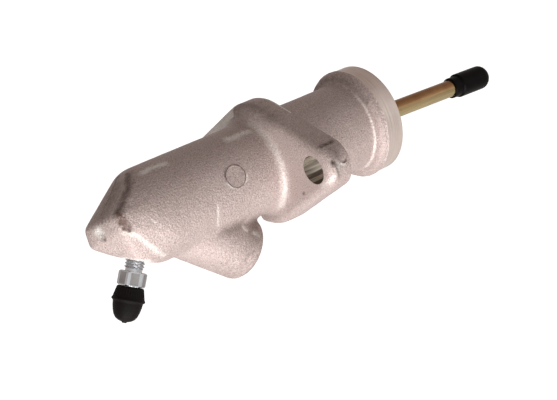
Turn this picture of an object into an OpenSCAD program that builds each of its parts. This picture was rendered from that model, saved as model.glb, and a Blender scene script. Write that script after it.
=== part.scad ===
// Clutch slave cylinder with a flange, a pushrod and a bleed screw.
// X runs along the bore, out of the open mouth. Z is up, and the flange ears lie along Y.
// The origin is on the bore's axis, in the flange's machined seating face.

/* [Barrel] */
// Outer diameter of the cast barrel
barrel_d = 40; // [38:0.5:44]
// Seating face to the open mouth
front_len = 54.4; // [50:0.2:60]
// Seating face to the tip of the closed end
back_len = 95.2; // [92:0.2:104]
// Diameter of the honed bore
bore_d = 28.6; // [26:0.2:30]
// Metal between the bore's floor and the tip of the closed end
floor_len = 31; // [29:0.5:34]

/* [Collar] */
// Diameter of the machined spigot at the mouth
collar_d = 49.2; // [48:0.2:54]
// Length of the machined spigot
collar_len = 9.8; // [9:0.1:12]
// Wall of the spigot round the recess that holds the dust boot
collar_wall = 4.6; // [4:0.1:6]
// Depth of the recess
recess_len = 9; // [8:0.5:9.5]

/* [Flange] */
// Thickness of the flange
flange_t = 11; // [9:0.5:14]
// Diameter of the flange round the barrel
hub_d = 54.4; // [50:0.2:58]
// Diameter of each ear
ear_d = 21; // [19:0.5:25]
// Distance between the two bolt holes
hole_spacing = 79; // [74:0.5:86]
// Diameter of the bolt holes
hole_d = 12; // [9:0.5:13]
// Cast radius on the flange's rear edge
flange_round = 3.8; // [2:0.2:5]
// Depth of the step in the rear of the far ear
ear_step = 3.4; // [1:0.2:4]

/* [Inlet] */
// Diameter of the inlet boss at its rim
inlet_d = 27.6; // [26:0.2:30]
// Distance of the boss's face behind the seating face
inlet_back = 27.2; // [26:0.2:32]
// Distance of the boss's face below the axis
inlet_drop = 31.7; // [30:0.1:36]
// Angle of the boss below the barrel's axis
inlet_angle = 41; // [36:1:46]
// Nominal diameter of the inlet's thread
inlet_thread_d = 12; // [10:1:14]
// Depth of the threaded port
inlet_depth = 13; // [11:0.5:14]

/* [Bleed screw] */
// Nominal diameter of the bleed screw's thread
bleed_thread_d = 8; // [7:0.5:8.5]
// Width across the flats of its hexagon
bleed_hex = 10; // [9:0.5:12]
// Distance of its seat from the tip of the closed end
bleed_inset = 14.4; // [12:0.1:16]
// Distance of its seat below the axis
bleed_drop = 12.9; // [12:0.1:14]
// Distance of its seat to the near side of the barrel's axis
bleed_side = 6; // [4:0.5:8]
// Lean of its axis towards the closed end
bleed_lean = 31; // [28:1:34]

/* [Bleed cap] */
// Diameter of the rubber cap's rim
cap_d = 13.4; // [12.6:0.2:15]
// Length of the rubber cap
cap_len = 14.3; // [13:0.1:16]

/* [Piston] */
// Length of the piston
piston_len = 34; // [30:0.5:36]
// Distance of the pushrod's ball behind the piston's front face
socket_depth = 15.9; // [14:0.1:18]
// Thickness of the piston's rubber cup
cup_len = 6; // [5:0.5:7]
// Wire diameter of the return spring
spring_wire = 1.8; // [1.4:0.1:2]
// Mean diameter of the return spring
spring_d = 18.5; // [17:0.5:20]
// Turns of the return spring
spring_turns = 8; // [6:1:9]

/* [Pushrod] */
// Diameter of the pushrod
rod_d = 8.2; // [7:0.1:9]
// Ball centre to the outer end of the pushrod's cap
rod_reach = 114.4; // [108:0.2:120]
// Diameter of the ball end
ball_d = 11; // [10:0.5:12]
// Droop of the pushrod at rest
rod_droop = 2.6; // [0:0.1:4]
// Diameter of the plastic cap on the rod's outer end
tip_d = 11.6; // [10.5:0.1:13]
// Length of the plastic cap
tip_len = 25.4; // [24:0.2:28]

/* [Small parts] */
// Thickness of the snap ring
snap_t = 1.2; // [1:0.1:1.5]
// Thickness of the stop washer
stop_t = 1.6; // [1.2:0.1:2]
// Wall of the rubber boot
boot_wall = 1.5; // [1.2:0.1:2]

/* [Hidden] */

$fn = 64;
eps = 0.01;
slide_gap = 0.03;
seal_gap = 0.02;
seat_gap = 0.05;

barrel_r = barrel_d / 2;
bore_r = bore_d / 2;
collar_r = collar_d / 2;
recess_r = collar_r - collar_wall;
floor_x = floor_len - back_len;
bleed_back = back_len - bleed_inset;
recess_x = front_len - recess_len;

// Cast blends of the barrel
collar_blend = (collar_r - barrel_r) * 0.94;
collar_back = 3.6;
collar_chamfer = 0.6;
rear_fillet = 3;
front_fillet = 1.2;
shoulder_r = 12;
shoulder_len = 28.6;
shoulder_x = shoulder_len - back_len;

// Closed end: a blunt wedge with its face turned towards the near side
nose_r = 3;
nose_far_y = -0.5;
nose_top = 3;
nose_bottom = -2;
near_edge = 4;
slope = 29;
slope_len = 24;
slope_x = slope_len - back_len;
slope_start = 18;
slope_end = 62;
heel_x = shoulder_x - 1;
heel_y = -4;
heel_r = 3;

// Far ear
ear_step_y = 6;

// Grooves in the mouth
snap_groove = 1.2;
snap_x = recess_x - 6;
stop_x = snap_x - stop_t;
boot_groove_x = front_len - 6.2;
boot_groove_w = 3;
boot_groove = 1.5;

// Piston and what rides on it
piston_r = bore_r - slide_gap;
piston_x = stop_x - 0.1;
piston_back = piston_x - piston_len;
ball_x = piston_x - socket_depth;
ball_r = ball_d / 2;
spigot_r = 5;
cup_back = piston_back - cup_len;
seat_plate = 1.4;
seat_r = bore_r - 3.2;
land_groove = 2.6;
guide_w = 5;
wiper_w = 4;
socket_wall = 1.6;
cavity_r = ball_r + socket_wall;
cavity_x = ball_x - ball_r - socket_wall;

// Pushrod
rod_r = rod_d / 2;
tip_r = tip_d / 2;
tip_neck = 5.5;
tip_dome = tip_r * 0.86;
cap_wall = 1;
clip_t = 1.2;
clip_r = ball_r - 0.6;
clip_x = ball_x + sqrt(ball_r * ball_r - clip_r * clip_r) + 0.1;

// Dust boot: [share of the way from snout to lip, height over the rim's front]
boot_fold = [[1, 0.9], [0.89, 1.7], [0.75, 1.9], [0.66, 1.4], [0.56, 0.3], [0.47, -0.2],
             [0.38, 0.1], [0.3, 1.1], [0.21, 2.4], [0.12, 3.7], [0.05, 5], [0, 6.9], [-0.05, 9]];
snout_r = rod_r + 4.8;
boot_lip_r = recess_r - 0.8;
boot_rim_r = snout_r + (boot_lip_r - snout_r) * 0.845;
boot_ring_t = 0.9;
boot_ring_w = boot_groove_w - 1;
snout_x = boot_groove_x + 13;
cuff_r = rod_r + boot_wall + 0.6;
cuff_end = snout_x - ball_x + 5;
clamp_w = 3;
clamp_t = 0.6;

// Return spring and its base washer
base_t = 1.2;
spring_far = floor_x + base_t;
spring_near = cup_back - seat_plate;
wire_r = spring_wire / 2;

// Floor of the bore
floor_relief_r = 8;
floor_relief = 2;
floor_chamfer = 1.4;
mouth_chamfer = 0.8;
recess_chamfer = 1;

// Inlet port
inlet_r = inlet_d / 2;
inlet_round = 3;
inlet_seat_r = inlet_thread_d / 2 - 2;
inlet_relief = 2.5;
inlet_relief_r = inlet_thread_d / 2 + 0.3;
inlet_seat_len = 4.5;
inlet_seat_z = -inlet_depth - inlet_relief - inlet_seat_len;
inlet_cone = 2;
passage_r = 2;

// Bleed screw, along its own axis from the seat
thread_in = 12;
cone_len = 2.6;
cone_r = bleed_thread_d / 2 - 0.6;
tip_cone = 2;
hex_from = 4.9;
hex_len = 5.8;
nipple_r = 3.2;
nipple_end = 21;
spot_r = bleed_hex / 2 / cos(30) + 0.6;
spot_depth = 0.5;
bleed_drill_r = 1.2;
bleed_cap_from = hex_from + hex_len + 0.2;
bleed_cap_end = bleed_cap_from + cap_len;
bleed_hole_r = 1.6;
bleed_hole_x = (thread_in + cone_len) * sin(bleed_lean) - bleed_back;
bleed_hole_z = (thread_in + cone_len) * cos(bleed_lean) - bleed_drop;

// Rubber cap: [share of its radius, share of its length]
cap_form = [[0.76, 0], [0.82, 0.035], [0.97, 0.322], [1, 0.364], [0.97, 0.406], [0.895, 0.427],
            [0.776, 0.706], [0.687, 0.818], [0.507, 0.916], [0.239, 0.965], [0.149, 0.972],
            [0.119, 1]];

// Points on an arc, from angle a to angle b
function arc(x, y, r, a, b, n = 8) =
    [for (i = [0:n]) [x + r * cos(a + (b - a) * i / n), y + r * sin(a + (b - a) * i / n)]];

// Turns a shape built along Z so that it lies along X
module along_x() { rotate([0, 90, 0]) children(); }

// A turned shape: points are [radius, x]
module turned(points) { along_x() rotate_extrude() polygon(points); }

// A round bar or hole along X, from x0 to x1
module bar(r, x0, x1) { translate([x0, 0, 0]) along_x() cylinder(r = r, h = x1 - x0); }

// Places a shape built along Z on the inlet's axis, with Z pointing out of the port
module on_inlet() {
    translate([-inlet_back, 0, -inlet_drop]) rotate([0, 90 + inlet_angle, 0]) children();
}

// Places a shape built along Z on the bleed screw's axis, with Z pointing out of its seat
module on_bleed() {
    translate([-bleed_back, -bleed_side, -bleed_drop]) rotate([0, 180 + bleed_lean, 0]) children();
}

// Places a shape built along X on the pushrod's drooping axis, from the ball's centre
module on_rod() { translate([ball_x, 0, 0]) rotate([0, rod_droop, 0]) children(); }

// The barrel with the spigot and both blends of the flange
module barrel() {
    turned(concat(
        [[0, shoulder_x], [barrel_r, shoulder_x]],
        arc(barrel_r + rear_fillet, -flange_t - rear_fillet, rear_fillet, 180, 90),
        [[barrel_r + rear_fillet, 0]],
        arc(barrel_r + front_fillet, front_fillet, front_fillet, 270, 180, 4),
        [[barrel_r, front_len - collar_len - collar_back]],
        [for (a = [0:10:90]) [collar_r - collar_blend * (1 - sin(a)),
            front_len - collar_len - collar_back * cos(a)]],
        [[collar_r, front_len - collar_chamfer], [collar_r - collar_chamfer, front_len],
         [0, front_len]]));
}

// One rounded disc of the flange, with its crisp edge in the seating face
module flange_disc(r) {
    turned(concat(
        [[0, -flange_t]],
        arc(r - flange_round, flange_round - flange_t, flange_round, -90, 0, 5),
        [[r, 0], [0, 0]]));
}

// The flange is a rhomb of three discs, with a step in the rear of the far ear
module flange() {
    difference() {
        hull() {
            flange_disc(hub_d / 2, $fn = 96);
            for (side = [-1, 1]) translate([0, side * hole_spacing / 2, 0])
                flange_disc(ear_d / 2, $fn = 48);
        }
        translate([-flange_t - 1, ear_step_y, -hub_d / 2])
            cube([ear_step + 1, hole_spacing, hub_d]);
    }
}

// Centre of the rounded edge where the sloping face leaves the barrel's near side, a degrees round
function slope_edge(a) =
    let (r = barrel_r - nose_r, z = r * cos(a))
    [slope_x - (barrel_r - nose_r / cos(slope) - z) / tan(slope), -r * sin(a), z];

// The closed end is drawn in from the barrel to a blunt nose, round the bleed screw's seat
module nose() {
    hull() {
        translate([shoulder_x, 0, 0]) along_x()
            rotate_extrude($fn = 72)
                intersection() {
                    translate([barrel_r - shoulder_r, 0]) circle(shoulder_r, $fn = 48);
                    translate([0, -shoulder_r]) square([barrel_r, shoulder_r]);
                }
        for (z = [nose_bottom, nose_top]) translate([nose_r - back_len, nose_far_y, z])
            sphere(nose_r, $fn = 32);
        for (a = [slope_start:(slope_end - slope_start) / 3:slope_end]) translate(slope_edge(a))
            sphere(nose_r, $fn = 32);
        translate(slope_edge(slope_end) - [0, 0, near_edge]) sphere(nose_r, $fn = 32);
        translate([heel_x, heel_y, heel_r - sqrt(barrel_r * barrel_r - heel_y * heel_y)])
            sphere(heel_r, $fn = 32);
        on_bleed() translate([0, 0, spot_depth - 4]) cylinder(r = spot_r + 1, h = 4, $fn = 40);
    }
}

// The inlet boss leans forward under the barrel
module inlet_boss() {
    on_inlet() rotate_extrude()
        polygon(concat([[0, -40], [inlet_r + 0.5, -40]],
            arc(inlet_r - inlet_round, -inlet_round, inlet_round, 0, 90, 6),
            [[0, 0]]));
}

// Everything that is bored, drilled or spot-faced
module machining() {
    turned([[0, floor_x - floor_relief], [floor_relief_r, floor_x - floor_relief],
        [floor_relief_r, floor_x], [bore_r - floor_chamfer, floor_x],
        [bore_r, floor_x + floor_chamfer], [bore_r, recess_x - mouth_chamfer],
        [bore_r + mouth_chamfer, recess_x], [recess_r, recess_x],
        [recess_r, front_len - recess_chamfer], [recess_r + recess_chamfer, front_len + eps],
        [0, front_len + eps]]);
    bar(bore_r + snap_groove, snap_x, snap_x + snap_t + 0.1);
    bar(recess_r + boot_groove, boot_groove_x, boot_groove_x + boot_groove_w);
    for (side = [-1, 1]) translate([0, side * hole_spacing / 2, 0]) bar(hole_d / 2, -flange_t - 1, 1);
    on_inlet() {
        translate([0, 0, -inlet_depth]) cylinder(r = inlet_thread_d / 2, h = inlet_depth + 1);
        translate([0, 0, -inlet_depth - inlet_relief]) cylinder(r = inlet_relief_r, h = inlet_relief);
        translate([0, 0, inlet_seat_z]) cylinder(r = inlet_seat_r, h = inlet_seat_len + 1);
        translate([0, 0, -(inlet_drop - bore_r * 0.6) / sin(inlet_angle)])
            cylinder(r = passage_r, h = (inlet_drop - bore_r * 0.6) / sin(inlet_angle));
    }
    on_bleed() {
        cylinder(r = spot_r, h = 6);
        translate([0, 0, -thread_in]) cylinder(r = bleed_thread_d / 2 + seat_gap, h = thread_in + 1);
        translate([0, 0, -thread_in - cone_len])
            cylinder(r1 = bleed_hole_r, r2 = cone_r, h = cone_len + eps);
    }
    translate([bleed_hole_x - bleed_hole_r, -bleed_side, bleed_hole_z]) along_x()
        cylinder(r = bleed_hole_r, h = floor_x - floor_relief + 1 - bleed_hole_x + bleed_hole_r);
}

module cylinder_body() {
    color("#a89a94") difference() {
        union() {
            barrel();
            flange();
            nose();
            inlet_boss();
        }
        machining();
    }
}

// Brass seat that the inlet pipe's flare seals on
module inlet_seat() {
    color("#c9a24a") on_inlet() translate([0, 0, inlet_seat_z]) difference() {
        rotate_extrude()
            polygon([[0, 0], [inlet_seat_r, 0], [inlet_seat_r, inlet_seat_len],
                [passage_r + 0.2, inlet_seat_len + inlet_cone], [0, inlet_seat_len + inlet_cone]]);
        translate([0, 0, -1]) cylinder(r = passage_r * 0.7, h = inlet_seat_len + inlet_cone + 2);
    }
}

// Steel washer under the spring at the bore's floor
module spring_base() {
    color("#b9bcc0") difference() {
        bar(spring_d / 2 + spring_wire + 1, floor_x, floor_x + base_t);
        bar(spring_d / 2 - spring_wire - 1, floor_x - 1, floor_x + base_t + 1);
    }
}

// Height of the wire's centre after t turns: closed end coils with open turns between
function spring_climb(t, turns, length) =
    let (shut = spring_wire + seat_gap, open = length - spring_wire - 2 * shut,
         u = min(max((t - 1) / (turns - 2), 0), 1))
    wire_r + shut * min(t, 1) + open * u + shut * max(t - turns + 1, 0);

module return_spring() {
    steps = 24;
    sides = 8;
    length = spring_near - spring_far;
    rings = spring_turns * steps;
    points = [for (i = [0:rings], k = [0:sides - 1])
        let (t = i / steps, a = 360 * t, b = 360 * k / sides,
             r = spring_d / 2 + wire_r * cos(b))
        [r * cos(a), r * sin(a), spring_climb(t, spring_turns, length) + wire_r * sin(b)]];
    sheath = [for (i = [0:rings - 1], k = [0:sides - 1])
        let (n = (k + 1) % sides)
        [i * sides + n, (i + 1) * sides + n, (i + 1) * sides + k, i * sides + k]];
    caps = [[for (k = [sides - 1:-1:0]) k], [for (k = [0:sides - 1]) rings * sides + k]];
    color("#8f9296") translate([spring_far, 0, 0]) along_x()
        polyhedron(points, concat(sheath, caps));
}

// Dished plate that holds the cup on the piston and centres the spring
module spring_seat() {
    color("#b9bcc0") difference() {
        union() {
            bar(seat_r, cup_back - seat_plate, cup_back);
            bar(spring_d / 2 - spring_wire, cup_back - seat_plate - 4, cup_back);
        }
        bar(spring_d / 2 - spring_wire - 1.2, cup_back - seat_plate - 5, cup_back - seat_plate - 0.2);
        bar(spigot_r - 1.4, cup_back - seat_plate - 1, cup_back + 1);
    }
}

module piston() {
    guide_x = piston_x - 4 - guide_w;
    wiper_x = piston_back + 4;
    color("#c3c1bd") difference() {
        union() {
            turned([[0, piston_back], [piston_r - 0.8, piston_back], [piston_r, piston_back + 0.8],
                [piston_r, piston_x - 0.8], [piston_r - 0.8, piston_x], [0, piston_x]]);
            bar(spigot_r, cup_back, piston_back + 1);
            bar(spigot_r - 1.5, cup_back - seat_plate, cup_back + 1);
        }
        for (groove = [[guide_x, guide_w], [wiper_x, wiper_w]])
            difference() {
                bar(piston_r + 1, groove[0], groove[0] + groove[1]);
                bar(piston_r - land_groove, groove[0] - 1, groove[0] + groove[1] + 1);
            }
        turned([[0, cavity_x], [cavity_r, cavity_x], [cavity_r, piston_x - 3],
            [cavity_r + 2, piston_x + eps], [0, piston_x + eps]]);
        bar(cavity_r + 1, clip_x, clip_x + clip_t + 0.1);
    }
}

// Ring of rubber with two lips, which open towards the bore's floor
module lip_ring(inner, outer, x, w) {
    lip = (outer - inner) * 0.3;
    turned([[inner, x], [inner + lip, x], [(inner + outer) / 2, x + w * 0.55], [outer - lip, x],
        [outer, x + 0.3], [outer, x + w * 0.3], [outer - 0.4, x + w], [inner, x + w]]);
}

module piston_cup() {
    color("#26262a") lip_ring(spigot_r + seat_gap, bore_r - slide_gap, cup_back, cup_len);
}

module wiper_cup() {
    color("#26262a")
        lip_ring(piston_r - land_groove, bore_r - slide_gap, piston_back + 4.1, wiper_w - 0.2);
}

// Split band that guides the piston in the bore
module guide_ring() {
    x = piston_x - 4 - guide_w;
    color("#3d5c4a") difference() {
        bar(bore_r - seal_gap, x + 0.1, x + guide_w - 0.1);
        bar(piston_r - land_groove, x - 1, x + guide_w + 1);
        translate([x - 1, -0.5, 0]) cube([guide_w + 2, 1, bore_r]);
    }
}

// Hard cup in the piston that the pushrod's ball turns in
module ball_socket() {
    color("#d8d2c0") difference() {
        bar(cavity_r, cavity_x, ball_x + 1.5);
        translate([ball_x, 0, 0]) sphere(ball_r + slide_gap, $fn = 64);
        bar(ball_r + slide_gap, ball_x, ball_x + 2);
        bar(1.5, cavity_x - 1, ball_x);
    }
}

// Split ring that keeps the ball in its socket
module rod_clip() {
    color("#8f9296") difference() {
        bar(cavity_r + 0.9, clip_x, clip_x + clip_t);
        bar(clip_r, clip_x - 1, clip_x + clip_t + 1);
        translate([clip_x - 1, -1.5, 0]) cube([clip_t + 2, 3, cavity_r + 2]);
    }
}

module stop_washer() {
    color("#b9bcc0") difference() {
        bar(bore_r - 0.1, stop_x, snap_x);
        bar(bore_r - 3.4, stop_x - 1, snap_x + 1);
    }
}

module snap_ring() {
    ring_r = bore_r + snap_groove - 0.1;
    color("#55585c") difference() {
        bar(ring_r, snap_x, snap_x + snap_t);
        bar(bore_r - 2.2, snap_x - 1, snap_x + snap_t + 1);
        translate([snap_x - 1, -3, -ring_r - 1]) cube([snap_t + 2, 6, ring_r]);
    }
}

module pushrod() {
    rod_end = rod_reach - 3;
    color("#b8924c") on_rod() {
        sphere(ball_r);
        turned([[0, 0], [rod_r - 1, 3], [rod_r - 1, 8], [rod_r, 10],
            [rod_r, rod_end - tip_len + 6], [rod_r - cap_wall, rod_end - tip_len + 7],
            [rod_r - cap_wall, rod_end - 1], [rod_r - cap_wall - 1, rod_end], [0, rod_end]]);
    }
}

// Black plastic cap that bears on the clutch fork
module pushrod_cap() {
    base = rod_reach - tip_len;
    inner = rod_r + seat_gap;
    color("#1d1d20") on_rod() difference() {
        turned(concat([[0, base], [tip_r - 1.1, base], [tip_r - 0.8, base + 0.4],
            [tip_r - 0.8, base + tip_neck - 0.6], [tip_r, base + tip_neck]],
            [for (a = [0:10:90]) [tip_r * cos(a), rod_reach - tip_dome * (1 - sin(a))]]));
        bar(inner, base - 1, rod_reach - tip_len + 3.2);
        turned([[0, base + 3], [inner, base + 3], [rod_r - cap_wall + seat_gap, base + 4.1],
            [rod_r - cap_wall + seat_gap, rod_reach - 2.9], [0, rod_reach - 2.9]]);
    }
}

// The same line of [radius, x] points, moved to its left by a distance
function beside(points, distance) =
    [for (i = [0:len(points) - 1])
        let (d = points[min(i + 1, len(points) - 1)] - points[max(i - 1, 0)])
        points[i] + distance * [-d.y, d.x] / norm(d)];

// Rubber boot: its rim sits in the mouth's groove, one fold runs round it, and its snout grips
// the pushrod
module dust_boot() {
    x = boot_groove_x + 0.1;
    w = boot_groove_w - 0.2;
    skin = [for (p = boot_fold) [snout_r + (boot_lip_r - snout_r) * p[0], x + w + p[1]]];
    back = beside(skin, boot_wall);
    color("#232326") difference() {
        union() {
            turned(concat(
                [[boot_rim_r, x], [recess_r + boot_groove - 0.1, x],
                 [recess_r + boot_groove - 0.1, x + w], [recess_r - 0.3, x + w]],
                skin, [[0, snout_x], [0, snout_x - boot_wall]],
                [for (i = [len(back) - 1:-1:1]) back[i]], [[boot_rim_r, x + w]]));
            on_rod() turned([[0, snout_x - ball_x - 2], [cuff_r, snout_x - ball_x - 2],
                [cuff_r, cuff_end - 0.5], [cuff_r - 0.6, cuff_end], [0, cuff_end]]);
        }
        on_rod() bar(rod_r + seat_gap, 0, cuff_end + 1);
    }
}

// Steel ring that keeps the boot's rim in its groove
module boot_ring() {
    color("#9a9da1") difference() {
        bar(boot_rim_r, boot_groove_x + 0.2, boot_groove_x + 0.2 + boot_ring_w);
        bar(boot_rim_r - boot_ring_t, boot_groove_x - 1, boot_groove_x + boot_groove_w + 1);
    }
}

// Narrow band that clamps the boot's neck to the pushrod
module boot_clamp() {
    from = cuff_end - 1.5 - clamp_w;
    inner = cuff_r + slide_gap;
    color("#9a9da1") on_rod() difference() {
        bar(inner + clamp_t, from, from + clamp_w);
        bar(inner, from - 1, from + clamp_w + 1);
    }
}

module bleed_screw() {
    r = bleed_thread_d / 2;
    color("#c9ccd0") on_bleed() difference() {
        union() {
            translate([0, 0, seat_gap - thread_in - tip_cone])
                cylinder(r1 = cone_r - (cone_r - bleed_hole_r) * tip_cone / cone_len, r2 = cone_r,
                    h = tip_cone);
            translate([0, 0, seat_gap - thread_in]) cylinder(r = r, h = thread_in + 3.6);
            translate([0, 0, 3.5]) cylinder(r = r - 0.6, h = hex_from - 3.4);
            intersection() {
                translate([0, 0, hex_from]) cylinder(r = bleed_hex / 2 / cos(30), h = hex_len, $fn = 6);
                rotate_extrude() polygon([[0, hex_from], [bleed_hex / 2, hex_from],
                    [bleed_hex / 2 / cos(30), hex_from + 0.5],
                    [bleed_hex / 2 / cos(30), hex_from + hex_len - 0.5],
                    [bleed_hex / 2, hex_from + hex_len], [0, hex_from + hex_len]]);
            }
            rotate_extrude() polygon([[0, hex_from + hex_len - 1], [nipple_r - 0.4, hex_from + hex_len - 1],
                [nipple_r - 0.4, nipple_end - 3.6], [nipple_r, nipple_end - 3],
                [nipple_r, nipple_end - 2], [nipple_r - 0.9, nipple_end], [0, nipple_end]]);
        }
        translate([0, 0, -thread_in + 3]) cylinder(r = bleed_drill_r, h = nipple_end + thread_in);
        translate([0, 0, -thread_in + 3.4]) rotate([90, 0, 0])
            cylinder(r = bleed_drill_r * 0.8, h = bleed_thread_d + 2, center = true);
    }
}

module bleed_cap() {
    color("#1f1f22") on_bleed() difference() {
        rotate_extrude() polygon(concat([[0, bleed_cap_from]],
            [for (p = cap_form) [cap_d / 2 * p[0], bleed_cap_from + cap_len * p[1]]],
            [[0, bleed_cap_end]]));
        translate([0, 0, bleed_cap_from - 1])
            cylinder(r = nipple_r + seat_gap, h = nipple_end - bleed_cap_from + 1.2);
    }
}

cylinder_body();
inlet_seat();
spring_base();
return_spring();
spring_seat();
piston();
piston_cup();
wiper_cup();
guide_ring();
ball_socket();
rod_clip();
stop_washer();
snap_ring();
pushrod();
pushrod_cap();
dust_boot();
boot_ring();
boot_clamp();
bleed_screw();
bleed_cap();
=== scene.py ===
import math

import bmesh
import bpy
import numpy as np
from mathutils import Matrix, Vector, noise


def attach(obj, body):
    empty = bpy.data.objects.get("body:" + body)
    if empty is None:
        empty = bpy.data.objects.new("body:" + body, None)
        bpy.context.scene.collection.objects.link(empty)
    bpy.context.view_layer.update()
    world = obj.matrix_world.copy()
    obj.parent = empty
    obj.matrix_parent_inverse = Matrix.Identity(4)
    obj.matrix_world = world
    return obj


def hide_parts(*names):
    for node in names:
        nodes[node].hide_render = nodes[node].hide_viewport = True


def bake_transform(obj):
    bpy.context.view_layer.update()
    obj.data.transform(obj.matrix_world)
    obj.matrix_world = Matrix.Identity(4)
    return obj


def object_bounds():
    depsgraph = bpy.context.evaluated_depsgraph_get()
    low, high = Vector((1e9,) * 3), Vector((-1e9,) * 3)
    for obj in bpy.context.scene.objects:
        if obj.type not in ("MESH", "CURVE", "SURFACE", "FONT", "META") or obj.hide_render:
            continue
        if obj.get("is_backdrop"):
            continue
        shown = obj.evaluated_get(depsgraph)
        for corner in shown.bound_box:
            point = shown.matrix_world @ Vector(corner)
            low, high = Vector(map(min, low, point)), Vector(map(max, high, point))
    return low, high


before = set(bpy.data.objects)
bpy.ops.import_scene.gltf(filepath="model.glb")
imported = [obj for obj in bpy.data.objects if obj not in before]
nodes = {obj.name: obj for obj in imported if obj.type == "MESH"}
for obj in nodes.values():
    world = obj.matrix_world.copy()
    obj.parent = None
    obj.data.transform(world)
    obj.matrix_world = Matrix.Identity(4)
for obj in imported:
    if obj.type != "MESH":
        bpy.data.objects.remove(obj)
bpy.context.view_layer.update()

# Camera, floor and light
# A small object held up in a white room, seen from behind its flange and a little above.
# Soft light comes from low in front and low on the right. The ceiling is dimmer than the walls.
def placed(name, data):
    """A new object in the scene that shows a mesh, a lamp or a camera."""
    piece = bpy.data.objects.new(name, data)
    bpy.context.scene.collection.objects.link(piece)
    return piece


photo_camera = bpy.data.cameras.new("photo_camera")
photo_camera.lens = 75.05
photo_camera.sensor_width = 36
camera = placed("photo_camera", photo_camera)
camera_right = Vector((0.7546, -0.606, -0.2506))
camera_up = Vector((0.3575, 0.0597, 0.9316))
camera_forward = Vector((0.5502, 0.7927, -0.2617))
camera_turn = Matrix((camera_right, camera_up, -camera_forward)).transposed()
camera_place = (-0.2803, -0.3987, 0.1137)
camera.matrix_world = Matrix.Translation(camera_place) @ camera_turn.to_4x4()
bpy.context.scene.camera = camera
bpy.context.scene.view_settings.view_transform = "Standard"


def put(tree, kind, inputs=None, **settings):
    """Adds a shader node, sets it up and feeds its sockets with values or other sockets."""
    made = tree.nodes.new("ShaderNode" + kind)
    for key, value in settings.items():
        setattr(made, key, value)
    for key, value in (inputs or {}).items():
        if isinstance(value, bpy.types.NodeSocket):
            tree.links.new(value, made.inputs[key])
        else:
            made.inputs[key].default_value = value
    return made


def math_of(tree, operation, a, b):
    """Two values, or sockets, put together by one sum."""
    return put(tree, "Math", {0: a, 1: b}, operation=operation).outputs[0]


def spread(tree, value, low, high, to_low=0.0, to_high=1.0):
    """A value brought from one range to another, and held inside it."""
    return put(tree, "MapRange", {"Value": value, "From Min": low, "From Max": high,
                                  "To Min": to_low, "To Max": to_high}).outputs["Result"]


def mixed(tree, mask, low, high):
    """Two colours, or sockets, mixed by a mask."""
    mix = put(tree, "Mix", {"Factor": mask}, data_type="RGBA")
    for end, value in (("A", low), ("B", high)):
        if isinstance(value, bpy.types.NodeSocket):
            tree.links.new(value, mix.inputs[end])
        else:
            mix.inputs[end].default_value = (*value, 1)
    return mix.outputs["Result"]


def seen_rays(tree, mirrored=1.0):
    """1 for rays that show a background: straight, refracted, and mirrored ones in part."""
    path = put(tree, "LightPath").outputs
    glossy = math_of(tree, "MULTIPLY", path["Is Glossy Ray"], mirrored)
    first = math_of(tree, "MAXIMUM", path["Is Camera Ray"], glossy)
    return math_of(tree, "MAXIMUM", first, path["Is Transmission Ray"])


white, dim_ceiling = (1, 1, 1), (0.43, 0.365, 0.335)
room_level, floor_glow, floor_mirrored = 0.45, 0.96, 0.45
studio = bpy.data.worlds.new("studio")
bpy.context.scene.world = studio
studio.use_nodes = True
tree = studio.node_tree
ceiling_side = camera_up * 0.92 - camera_right * 0.34
ray_side = put(tree, "TexCoord").outputs["Generated"]
upward = put(tree, "VectorMath", {0: ray_side, 1: ceiling_side}, operation="DOT_PRODUCT")
ceiling = spread(tree, upward.outputs["Value"], -0.1, 0.75)
out_of_view = math_of(tree, "SUBTRACT", 1.0, put(tree, "LightPath").outputs["Is Camera Ray"])
wall = mixed(tree, math_of(tree, "MULTIPLY", ceiling, out_of_view), white, dim_ceiling)
background = tree.nodes["Background"].inputs
tree.links.new(wall, background["Color"])
tree.links.new(spread(tree, seen_rays(tree), 0, 1, room_level, 1.0), background["Strength"])

floor_z, floor_half = -0.6, 30
floor_corners = [(floor_half * x, floor_half * y, floor_z)
                 for x, y in ((-1, -1), (1, -1), (1, 1), (-1, 1))]
floor_mesh = bpy.data.meshes.new("floor")
floor_mesh.from_pydata(floor_corners, [], [(0, 1, 2, 3)])
floor = placed("floor", floor_mesh)
floor_paper = bpy.data.materials.new("floor_paper")
floor_paper.use_nodes = True
tree = floor_paper.node_tree
paper = tree.nodes["Principled BSDF"].inputs
paper["Base Color"].default_value = (0.84, 0.83, 0.82, 1)
paper["Roughness"].default_value = 0.9
paper["Emission Color"].default_value = (*white, 1)
glow = math_of(tree, "MULTIPLY", seen_rays(tree, floor_mirrored), floor_glow)
tree.links.new(glow, paper["Emission Strength"])
floor_mesh.materials.append(floor_paper)
floor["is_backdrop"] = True


def soft_lamp(name, right, up, towards, size, watts):
    """A square lamp placed from the middle of the object by the camera's own axes."""
    lamp = bpy.data.lights.new(name, "AREA")
    lamp.size = size
    lamp.energy = watts
    holder = placed(name, lamp)
    place = camera_right * right + camera_up * up - camera_forward * towards
    holder.location = place
    holder.rotation_euler = place.to_track_quat("Z", "Y").to_euler()
    holder.visible_camera = False


soft_lamp("key_lamp", right=-0.02, up=-0.5, towards=0.36, size=0.55, watts=4.5)
soft_lamp("side_lamp", right=0.42, up=-0.52, towards=0.24, size=0.4, watts=1.5)
soft_lamp("front_lamp", right=0.35, up=0.35, towards=0.45, size=0.5, watts=0.15)

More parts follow.
